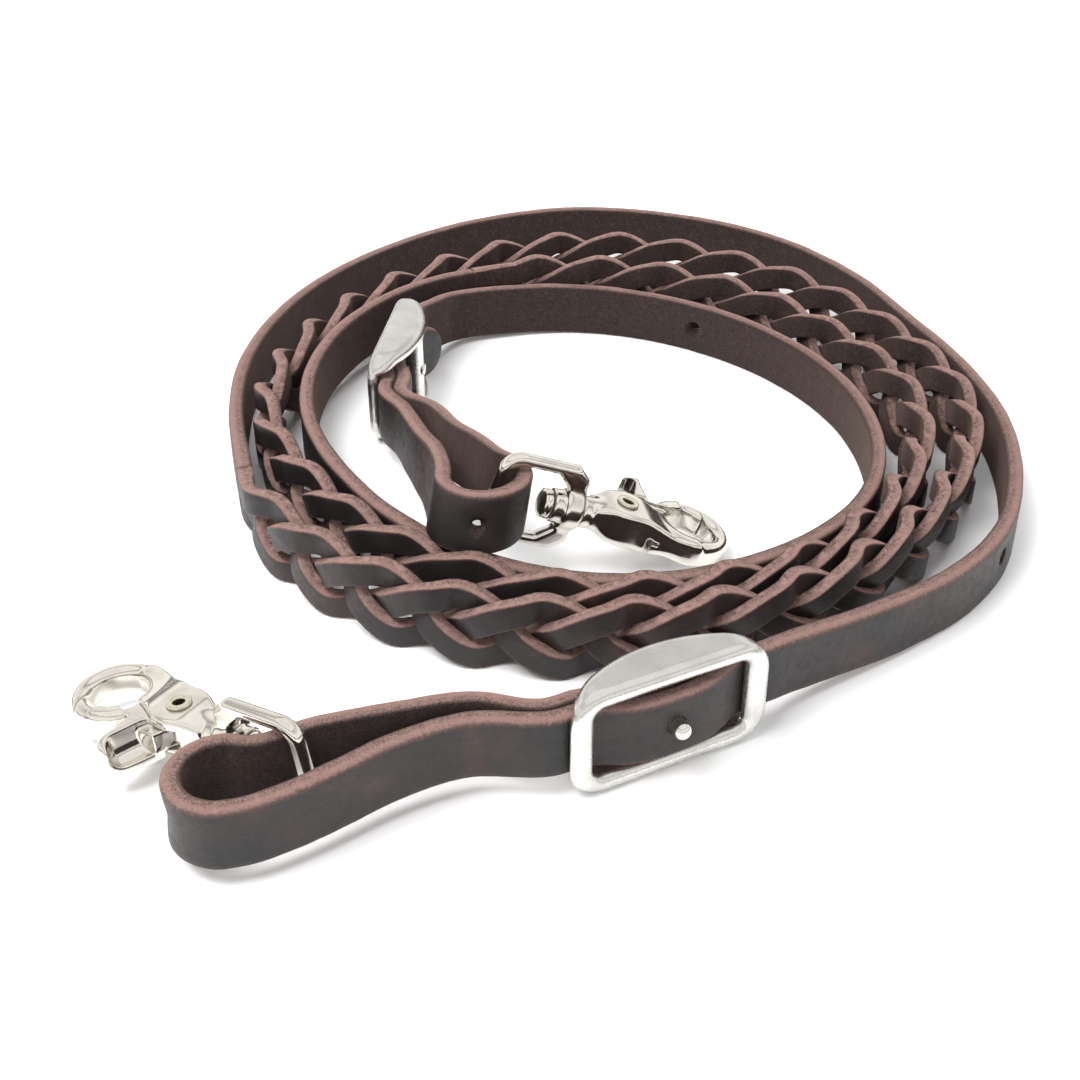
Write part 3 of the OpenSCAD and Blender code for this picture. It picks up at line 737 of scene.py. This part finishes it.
def rounded_outline(corners, radii):
    """Polygon with each corner replaced by an arc of its own radius."""
    points = []
    n = len(corners)
    for i, r in enumerate(radii):
        p, a, b = (np.array(corners[k % n], float) for k in (i, i - 1, i + 1))
        u, v = unit(a - p), unit(b - p)
        half = math.acos(float(np.clip(np.dot(u, v), -1, 1))) / 2
        centre = p + unit(u + v) * r / math.sin(half)
        start, end = p + u * r / math.tan(half) - centre, p + v * r / math.tan(half) - centre
        turn = math.atan2(start[0] * end[1] - start[1] * end[0], float(np.dot(start, end)))
        for k in range(9):
            w = turn * k / 8
            c, q = math.cos(w), math.sin(w)
            points.append((centre[0] + start[0] * c - start[1] * q,
                           centre[1] + start[0] * q + start[1] * c))
    return points


def meet(a, b, edge):
    """Common part of two solids, with the edge between them rounded."""
    a, b = a + edge, b + edge
    return np.minimum(np.maximum(a, b), 0) + np.hypot(np.maximum(a, 0), np.maximum(b, 0)) - edge


def slab(outline, z, half, edge):
    """Flat plate with rounded edges: the outline's distance carried up to half."""
    return meet(outline, np.abs(z) - half, edge)


def join(a, b, fillet):
    """Both solids, with a fillet between them."""
    h = np.maximum(fillet - np.abs(a - b), 0) / fillet
    return np.minimum(a, b) - h * h * fillet / 4


def cut(a, b, edge):
    """a without b."""
    return -join(-a, b, edge)


def rod(x, y, z, start, end, r, edge):
    """Cylinder along x."""
    return slab(np.hypot(y, z) - r, x - (start + end) / 2, (end - start) / 2, edge)


def step_to(x, start, end, a, b):
    """Eased change from a to b between two places."""
    return a + (b - a) * ease((x - start) / (end - start))


# A snap's x runs from the bail's bar along the shank, and its z is the rivet's axis.
RIVET_X = 34.6
RING_X = 53.8 - RIVET_X          # ring centre, measured from the rivet
RING_R, EYE_R = 11.2, 7.0
RING_Z, CHEEK_Z = 3.5, 5.2       # half thicknesses
CHEEK_GAP = 2.6                  # half width of the slot between the cheeks
RIVET_R, RIVET_HOLE_R = 2.0, 2.06
GATE_R = 25.2                    # reach of the gate, from the rivet
BAR_R = 1.9
BAIL_IN, BAIL_OUT = 9.2, 12.4
BAIL_END = 22.4
SHANK_R = 2.85
HEAD_X, HEAD_END, HEAD_R = 11.0, 14.3, 3.9
HEAD_DOME_X, HEAD_DOME_R = 17.4, 6.4
NECK_X, NECK_END, NECK_R = 22.6, 29.0, 4.25
ARM_X, ARM_HALF = -9.0, 4.3      # where the hook's plate begins, measured from the rivet
BAIL_SKIN = rounded_outline([(-BAR_R, -BAIL_OUT), (18.6, -BAIL_OUT), (BAIL_END, -9.2),
                             (BAIL_END, 9.2), (18.6, BAIL_OUT), (-BAR_R, BAIL_OUT)],
                            [5.5, 2.2, 2.2, 2.2, 2.2, 5.5])
BAIL_HOLE = rounded_outline([(BAR_R, -BAIL_IN), (13.6, -BAIL_IN), (17.8, -5.4),
                             (17.8, 5.4), (13.6, BAIL_IN), (BAR_R, BAIL_IN)],
                            [2.4, 1.6, 1.2, 1.2, 1.6, 2.4])
# Outlines in x and y, measured from the rivet: room that the hook leaves to the gate, the
# gate's full thickness, the slot between the cheeks, the thumb tail, the trough in its face.
GATE_PLAN = [(3.2, 5.6), (10.8, 1.7), (RING_X, 0), (26, 0.5), (26, 14), (3.2, 14)]
THICK_PLAN = [(7.5, 6.5), (14, 5.4), (30, 0), (30, 20), (0, 20)]
SLOT_PLAN = [(0, -5.2), (8.6, -7.1), (12.4, -6), (13.6, -3), (13.6, 12), (-3.6, 12), (-4.4, 2.6)]
TAIL_PLAN = rounded_outline([(-0.8, 6.4), (1.3, 12.4), (4.6, 19.2), (8.3, 18.8), (7.8, 13),
                             (8.2, 6.8)], [0.6, 6, 1.4, 1.6, 8, 0.6])
SCOOP = [(1.4, 9.4), (3.2, 15.0)]


def bail_shape(x, y, z):
    """Flat loop with a round bar, its collar, and the bore for the shank."""
    loop = np.maximum(distance_to(x, z, BAIL_SKIN), -distance_to(x, z, BAIL_HOLE))
    f = slab(loop, y, BAR_R, 1.6)
    f = join(f, rod(x, y, z, 17.7, BAIL_END, 5.2, 0.8), 2.2)
    f = join(f, rod(x, y, z, 14.6, 19.0, 4.4, 0.5), 0.6)
    return cut(f, rod(x, y, z, 12.0, 26.0, SHANK_R + 0.05, 0.1), 0.5)


def ring_section(x, y, z):
    """Round ring of the snap, x measured from the rivet."""
    band = np.abs(np.hypot(x - RING_X, y) - (RING_R + EYE_R) / 2) - (RING_R - EYE_R) / 2
    return slab(band, z, RING_Z, 2.0)


def hook_shape(x, y, z):
    """Fixed half of the snap: domed head and shank, neck, two cheeks, and the round hook."""
    head = meet(rod(x, y, z, HEAD_X, HEAD_END, HEAD_R, 0.3),
                np.sqrt((x - HEAD_DOME_X) ** 2 + y * y + z * z) - HEAD_DOME_R, 0.3)
    # turned groove behind the head's rim
    head = cut(head, np.hypot(x - 13.0, np.hypot(y, z) - 4.05) - 0.32, 0.15)
    shank = rod(x, y, z, 12.0, 26.0, SHANK_R, 0.1)
    neck = rod(x, y, z, NECK_X, NECK_END, NECK_R, 0.55)
    x = x - RIVET_X
    # plate that widens from the neck to the ring, thickest at the rivet
    plan = [(q, -float(step_to(q, ARM_X, RING_X, ARM_HALF, RING_R)))
            for q in np.linspace(ARM_X, RING_X, 15)]
    plan += [(RING_X, 0.0), (10.8, 1.6), (3.2, 5.5), (-4.0, 5.2), (ARM_X, ARM_HALF)]
    arm = join(distance_to(x, y, plan), np.hypot(x, y) - 6.6, 3.0)
    thick = np.minimum(step_to(x, ARM_X, -3.5, RING_Z, CHEEK_Z),
                       step_to(x, 4.0, 13.0, CHEEK_Z, RING_Z))
    plate = meet(meet(arm, -z - thick, 2.8), z - thick, 1.2)
    plate = cut(plate, np.hypot(x - RING_X, y) - EYE_R, 1.6)
    f = join(plate, ring_section(x, y, z), 1.4)
    room = np.maximum(np.hypot(x, y) - GATE_R, distance_to(x, y, GATE_PLAN)) - 0.12
    f = cut(f, room, 0.5)
    f = join(f, neck, 0.9)
    # slot for the gate between the cheeks
    slot = np.maximum(distance_to(x, y, SLOT_PLAN), np.abs(z) - CHEEK_GAP)
    slot = np.minimum(slot, np.maximum(np.hypot(x, y) - 5.2, np.abs(z) - CHEEK_GAP))
    f = cut(f, slot, 0.45)
    # slot between the lower cheek and the arm, with a notch for the spring's end
    side = slab(np.maximum(np.abs(x - 6.4) - 0.65, np.abs(y + 9) - 5), z + 2.6, 3.2, 0.55)
    notch = slab(np.maximum(np.abs(x - 7.2) - 1.3, np.abs(y + 8) - 3), z + 0.2, 0.5, 0.2)
    f = cut(f, np.minimum(side, notch), 0.35)
    f = cut(f, np.hypot(x, y) - RIVET_R, 0.1)
    return np.minimum(np.minimum(f, shank), head)


def trigger_shape(x, y, z):
    """Sprung gate: its part of the ring, the hinge between the cheeks, and the thumb tail."""
    hinge_z = CHEEK_GAP - 0.1
    x = x - RIVET_X
    top = [(RING_X + RING_R * math.cos(math.radians(a)), RING_R * math.sin(math.radians(a)))
           for a in range(90, 141, 10)]
    plan = [(0, -4.9), (5.5, -4.2), (10.6, -1.9), (RING_X, 0)]
    plan += top + [(6.8, 7.8), (3, 6.6), (-1, 4.8)]
    outline = np.minimum(distance_to(x, y, plan), np.hypot(x, y) - 4.9)
    f = slab(outline, z, hinge_z, 0.35)
    reach = np.maximum(np.hypot(x, y) - GATE_R, distance_to(x, y, THICK_PLAN))
    gate = np.minimum(ring_section(x, y, z), slab(outline, z, RING_Z + 0.5, 1.8))
    f = join(f, meet(gate, reach, 0.35), 0.6)
    root_plan = [(-2.4, 3.8), (-0.6, 7.4), (0.2, 9), (6, 9), (6, 4)]
    root = slab(distance_to(x, y, root_plan), z, hinge_z, 0.4)
    tail = slab(np.maximum(distance_to(x, y, TAIL_PLAN), 7.0 - np.hypot(x, y)), z, 4.8, 0.8)
    tail = meet(tail, np.hypot(np.maximum(y - 14.6, 0), z) - 4.9, 0.8)
    scoop = np.hypot(distance_to(x, y, SCOOP), np.minimum(z - 0.9, 0)) - 3.3
    tail = cut(tail, scoop, 0.6)
    f = join(join(f, root, 0.5), tail, 0.8)
    f = cut(f, np.hypot(x - RING_X, y) - EYE_R, 1.4)
    return cut(f, np.hypot(x, y) - RIVET_HOLE_R, 0.2)


def rivet_shape(x, y, z):
    """Hollow rivet with rolled rims at both cheeks."""
    r = np.hypot(x - RIVET_X, y)
    f = slab(r - RIVET_R, z, CHEEK_Z + 0.5, 0.1)
    f = join(f, slab(r - 2.95, np.abs(z) - CHEEK_Z - 0.35, 0.42, 0.4), 0.3)
    return cut(f, r - 1.3, 0.7)


FRAME_L, FRAME_H = 50.5, 28.0
FACE_CORNER_R, WINDOW_CORNER_R = 8.5, 2.5
BAR_W, RAIL_H, BAR_T, ARCH = 6.0, 4.5, 3.0, 9.2
CROSS_Y, CROSS_R = ARCH - 2.6, 2.2
STUD_R, STUD_OUT = 2.1, 6.0


def box_outline(l, h, r):
    return rounded_outline([(-l / 2, -h / 2), (l / 2, -h / 2), (l / 2, h / 2), (-l / 2, h / 2)],
                           [r] * 4)


def frame_shape(x, y, z):
    """Conway buckle frame: x along the strap, y behind the end bars, z up."""
    arch_r = ((FRAME_L / 2) ** 2 + ARCH ** 2) / (2 * ARCH)
    window = box_outline(FRAME_L - 2 * BAR_W, FRAME_H - 2 * RAIL_H, WINDOW_CORNER_R)
    face = np.maximum(distance_to(x, z, box_outline(FRAME_L, FRAME_H, FACE_CORNER_R)),
                      -distance_to(x, z, window))
    leaf = np.maximum(-BAR_T - y, np.hypot(x, y - ARCH + arch_r) - arch_r)
    f = meet(face, leaf, 2.3)
    strap_way = np.maximum(np.maximum(-y, np.abs(z) - FRAME_H / 2 + RAIL_H), 4.0 - np.abs(x))
    f = cut(f, strap_way, 0.8)
    # upright bar behind the strap, which carries the stud
    bar = slab(np.hypot(x, y - CROSS_Y) - CROSS_R, z, FRAME_H / 2 - RAIL_H + 1, 0.1)
    return join(f, bar, 0.9)


def stud_shape(x, y, z):
    """Screwed stud through both layers, with a polished dome, and its riveted tail."""
    r = np.hypot(x, z)
    post = slab(r - STUD_R, y - (CROSS_Y - CROSS_R - STUD_OUT - STUD_R) / 2,
                (CROSS_Y - CROSS_R + STUD_OUT + STUD_R) / 2, 1.9)
    tail = slab(r - 1.85, y - CROSS_Y - 2.0, 0.6, 0.5)
    tenon = slab(r - STUD_R + 0.6, y - CROSS_Y, 2.4, 0.1)
    return np.minimum(np.minimum(post, tail), tenon)


def skin_of(shape, low, high, step):
    """Quad skin of a casting on a regular grid: points, faces and unit normals."""
    axes = [np.arange(a - 1.5 * step, b + 2.5 * step, step) for a, b in zip(low, high)]
    grid = np.meshgrid(*axes, indexing="ij", sparse=True)
    f = np.broadcast_to(shape(*grid), [len(a) for a in axes]).astype(float)
    f = np.where(np.abs(f) < 1e-9, 1e-9, f)
    inside = f < 0
    cells = tuple(n - 1 for n in f.shape)
    total, hits = np.zeros((*cells, 3)), np.zeros(cells)

    def corner(a, offset):
        return a[tuple(slice(o, o + n) for o, n in zip(offset, cells))]

    for axis in range(3):
        others = [k for k in range(3) if k != axis]
        for p in (0, 1):
            for q in (0, 1):
                near = [0, 0, 0]
                near[others[0]], near[others[1]] = p, q
                far = list(near)
                far[axis] = 1
                a, b = corner(f, near), corner(f, far)
                change = (a < 0) != (b < 0)
                t = np.where(change, a / np.where(change, a - b, 1), 0)
                for k in range(3):
                    total[..., k] += change * (t if k == axis else near[k])
                hits += change
    used = hits > 0
    index = np.full(cells, -1)
    index[used] = np.arange(int(used.sum()))
    base = np.argwhere(used)
    spot = base + total[used] / hits[used][:, None]

    faces = []
    for axis in range(3):
        u, v = (axis + 1) % 3, (axis + 2) % 3
        a = np.take(inside, range(f.shape[axis] - 1), axis)
        b = np.take(inside, range(1, f.shape[axis]), axis)
        for flip, change in ((False, a & ~b), (True, ~a & b)):
            at = np.argwhere(change)
            ring = []
            for du, dv in ((-1, -1), (0, -1), (0, 0), (-1, 0)):
                cell = at.copy()
                cell[:, u] += du
                cell[:, v] += dv
                ring.append(index[tuple(cell.T)])
            faces.append(np.array(ring if not flip else ring[::-1]).T)
    faces = np.concatenate(faces)

    slope = np.stack(np.gradient(f, step), axis=-1)
    for _ in range(2):
        value, normal = sample(f, spot), unit(sample(slope, spot) + 1e-12)
        spot = spot - normal * np.clip(value, -step / 2, step / 2)[:, None] / step
    points = spot * step + np.array([a[0] for a in axes])
    return points, faces, unit(sample(slope, spot) + 1e-12)


def sample(field, spot):
    """Reads a gridded field between its grid points."""
    last = np.array(field.shape[:3]) - 2
    base = np.clip(np.floor(spot).astype(int), 0, last)
    t = spot - base
    value = 0
    for i in (0, 1):
        for j in (0, 1):
            for k in (0, 1):
                w = (np.where(i, t[:, 0], 1 - t[:, 0]) * np.where(j, t[:, 1], 1 - t[:, 1])
                     * np.where(k, t[:, 2], 1 - t[:, 2]))
                part = field[base[:, 0] + i, base[:, 1] + j, base[:, 2] + k]
                value = value + (part * w[:, None] if part.ndim == 2 else part * w)
    return value


def cast(node, body, material, skin, place):
    """One casting, set in its place, instead of the plain solid."""
    points, faces, normals = skin
    mesh = bpy.data.meshes.new(node + "_cast")
    turn = np.array(place.to_3x3())
    points = (points @ turn.T + np.array(place.translation)) * MM
    mesh.from_pydata(points.tolist(), [], faces.tolist())
    mesh.polygons.foreach_set("use_smooth", [True] * len(mesh.polygons))
    mesh.normals_split_custom_set_from_vertices((normals @ turn.T).tolist())
    mesh.materials.append(material)
    obj = bpy.data.objects.new(node + "_cast", mesh)
    SCENE.collection.objects.link(obj)
    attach(obj, body)
    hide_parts(node)


BAIL = skin_of(bail_shape, (-2, -5.4, -12.5), (22.5, 5.4, 12.5), 0.28)
HOOK = skin_of(hook_shape, (10, -11.4, -5.4), (65.2, 11.4, 5.4), 0.28)
TRIGGER = skin_of(trigger_shape, (29, -5.2, -5.0), (61, 19, 5.0), 0.25)
RIVET = skin_of(rivet_shape, (31.4, -3.2, -6.2), (37.8, 3.2, 6.2), 0.16)
FRAME = skin_of(frame_shape, (-25.4, -3.2, -14.2), (25.4, 9.4, 14.2), 0.32)
STUD = skin_of(stud_shape, (-2.3, -8.3, -2.3), (2.3, 9.3, 2.3), 0.17)
# bail bar centre, then heading, slope, roll of the hook, roll of the bail
SNAPS = {"outer": ((-62, -148, 14.1), (148, 6, 1, -4)),
         "inner": ((-23.4, -60.1, 26.7), (11, 21, 0, 0))}
BUCKLES = {"outer": (BUCKLE_1, HEAD_1), "inner": (BUCKLE_2, HEAD_2)}
for end in ("outer", "inner"):
    spot, (heading, slope, roll, bail_roll) = SNAPS[end]
    axis_place = Matrix.Translation(spot) @ turned("Z", heading) @ turned("Y", slope)
    bail_place = axis_place @ turned("X", bail_roll)
    hook_place = axis_place @ turned("X", roll)
    cast(f"{end}_snap_bail", f"{end}_bail", POLISHED, BAIL, bail_place)
    cast(f"{end}_snap_hook", f"{end}_hook", POLISHED, HOOK, hook_place)
    cast(f"{end}_snap_trigger", f"{end}_gate", POLISHED, TRIGGER, hook_place)
    cast(f"{end}_snap_rivet", f"{end}_hook", BRASSY, RIVET, hook_place)
    buckle, heading = BUCKLES[end]
    buckle_place = Matrix.Translation((*buckle, MID)) @ turned("Z", heading)
    cast(f"{end}_buckle_frame", "reins", SATIN, FRAME, buckle_place)
    cast(f"{end}_buckle_stud", "reins", POLISHED, STUD, buckle_place)
    spring = frame["nodes"][f"{end}_snap_spring"]
    spring.data.materials.clear()
    spring.data.materials.append(WIRE)


# ---------------------------------------------------------------- studio, in metres
def floor():
    bm = bmesh.new()
    half = 3.0
    bm.faces.new([bm.verts.new((x, y, 0)) for x, y in
                  ((-half, -half), (half, -half), (half, half), (-half, half))])
    m = Nodes("pale_floor")
    m.set(Base_Color=m.mix(m.noise(m.place(), 3, 2), (0.90, 0.90, 0.90), (0.92, 0.92, 0.92)),
          Roughness=0.6, Specular_IOR_Level=0.2)
    add_piece("floor", bm, m.material)


def area_light(name, place, size, power):
    """Soft light aimed at the coil.  Metal shows the world instead of it."""
    data = bpy.data.lights.new(name, "AREA")
    data.shape = "RECTANGLE"
    data.size, data.size_y = size
    data.energy = power
    obj = bpy.data.objects.new(name, data)
    obj.location = place
    obj.rotation_euler = (-Vector(place)).to_track_quat("-Z", "Y").to_euler()
    obj.visible_glossy = False
    SCENE.collection.objects.link(obj)


# brightness that metal sees, from straight below (0) to straight above (1)
WALLS = [(0.0, 0.3), (0.50, 0.4), (0.54, 0.06), (0.59, 1.3), (0.72, 1.15), (0.80, 0.95),
         (0.845, 0.35), (0.875, 1.25), (1.0, 1.05)]
AMBIENT = 0.62                   # even light on everything else


def world():
    """Even pale light; glossy rays see bright walls with dark bands, so that metal edges read."""
    w = bpy.data.worlds.new("studio")
    w.use_nodes = True
    SCENE.world = w
    tree = w.node_tree
    back = tree.nodes["Background"]
    coordinate = tree.nodes.new("ShaderNodeTexCoord")
    split = tree.nodes.new("ShaderNodeSeparateXYZ")
    ramp = tree.nodes.new("ShaderNodeValToRGB")
    for element, (at, level) in zip(ramp.color_ramp.elements, (WALLS[0], WALLS[-1])):
        element.position = at
        element.color = (level, level, level, 1)
    for at, level in WALLS[1:-1]:
        element = ramp.color_ramp.elements.new(at)
        element.color = (level, level * 0.985, level * 0.96, 1)
    half = tree.nodes.new("ShaderNodeMath")
    half.operation = "MULTIPLY_ADD"
    half.inputs[1].default_value = 0.5
    half.inputs[2].default_value = 0.5
    path = tree.nodes.new("ShaderNodeLightPath")
    choose = tree.nodes.new("ShaderNodeMix")
    choose.data_type = "RGBA"
    choose.inputs[6].default_value = (AMBIENT, AMBIENT, AMBIENT, 1)
    tree.links.new(coordinate.outputs["Generated"], split.inputs[0])
    tree.links.new(split.outputs[2], half.inputs[0])
    tree.links.new(half.outputs[0], ramp.inputs[0])
    tree.links.new(path.outputs["Is Glossy Ray"], choose.inputs[0])
    tree.links.new(ramp.outputs[0], choose.inputs[7])
    tree.links.new(choose.outputs[2], back.inputs[0])
    back.inputs[1].default_value = 0.9


def camera():
    """Camera at the photograph's viewing angle."""
    data = bpy.data.cameras.new("camera")
    data.sensor_width = 36.0
    data.lens = 53.33
    data.clip_start = 0.01
    obj = bpy.data.objects.new("camera", data)
    obj.location = (-0.0125, -0.400, 0.2414)
    obj.rotation_euler = (math.radians(56), 0, 0)
    SCENE.collection.objects.link(obj)
    SCENE.camera = obj


floor()
world()
area_light("key", (-0.35, -0.25, 0.75), (0.5, 0.4), 8.0)
area_light("front", (0.15, -0.9, 0.5), (0.9, 0.4), 4.0)
area_light("back", (0.1, 0.7, 0.6), (0.9, 0.3), 6.0)
camera()
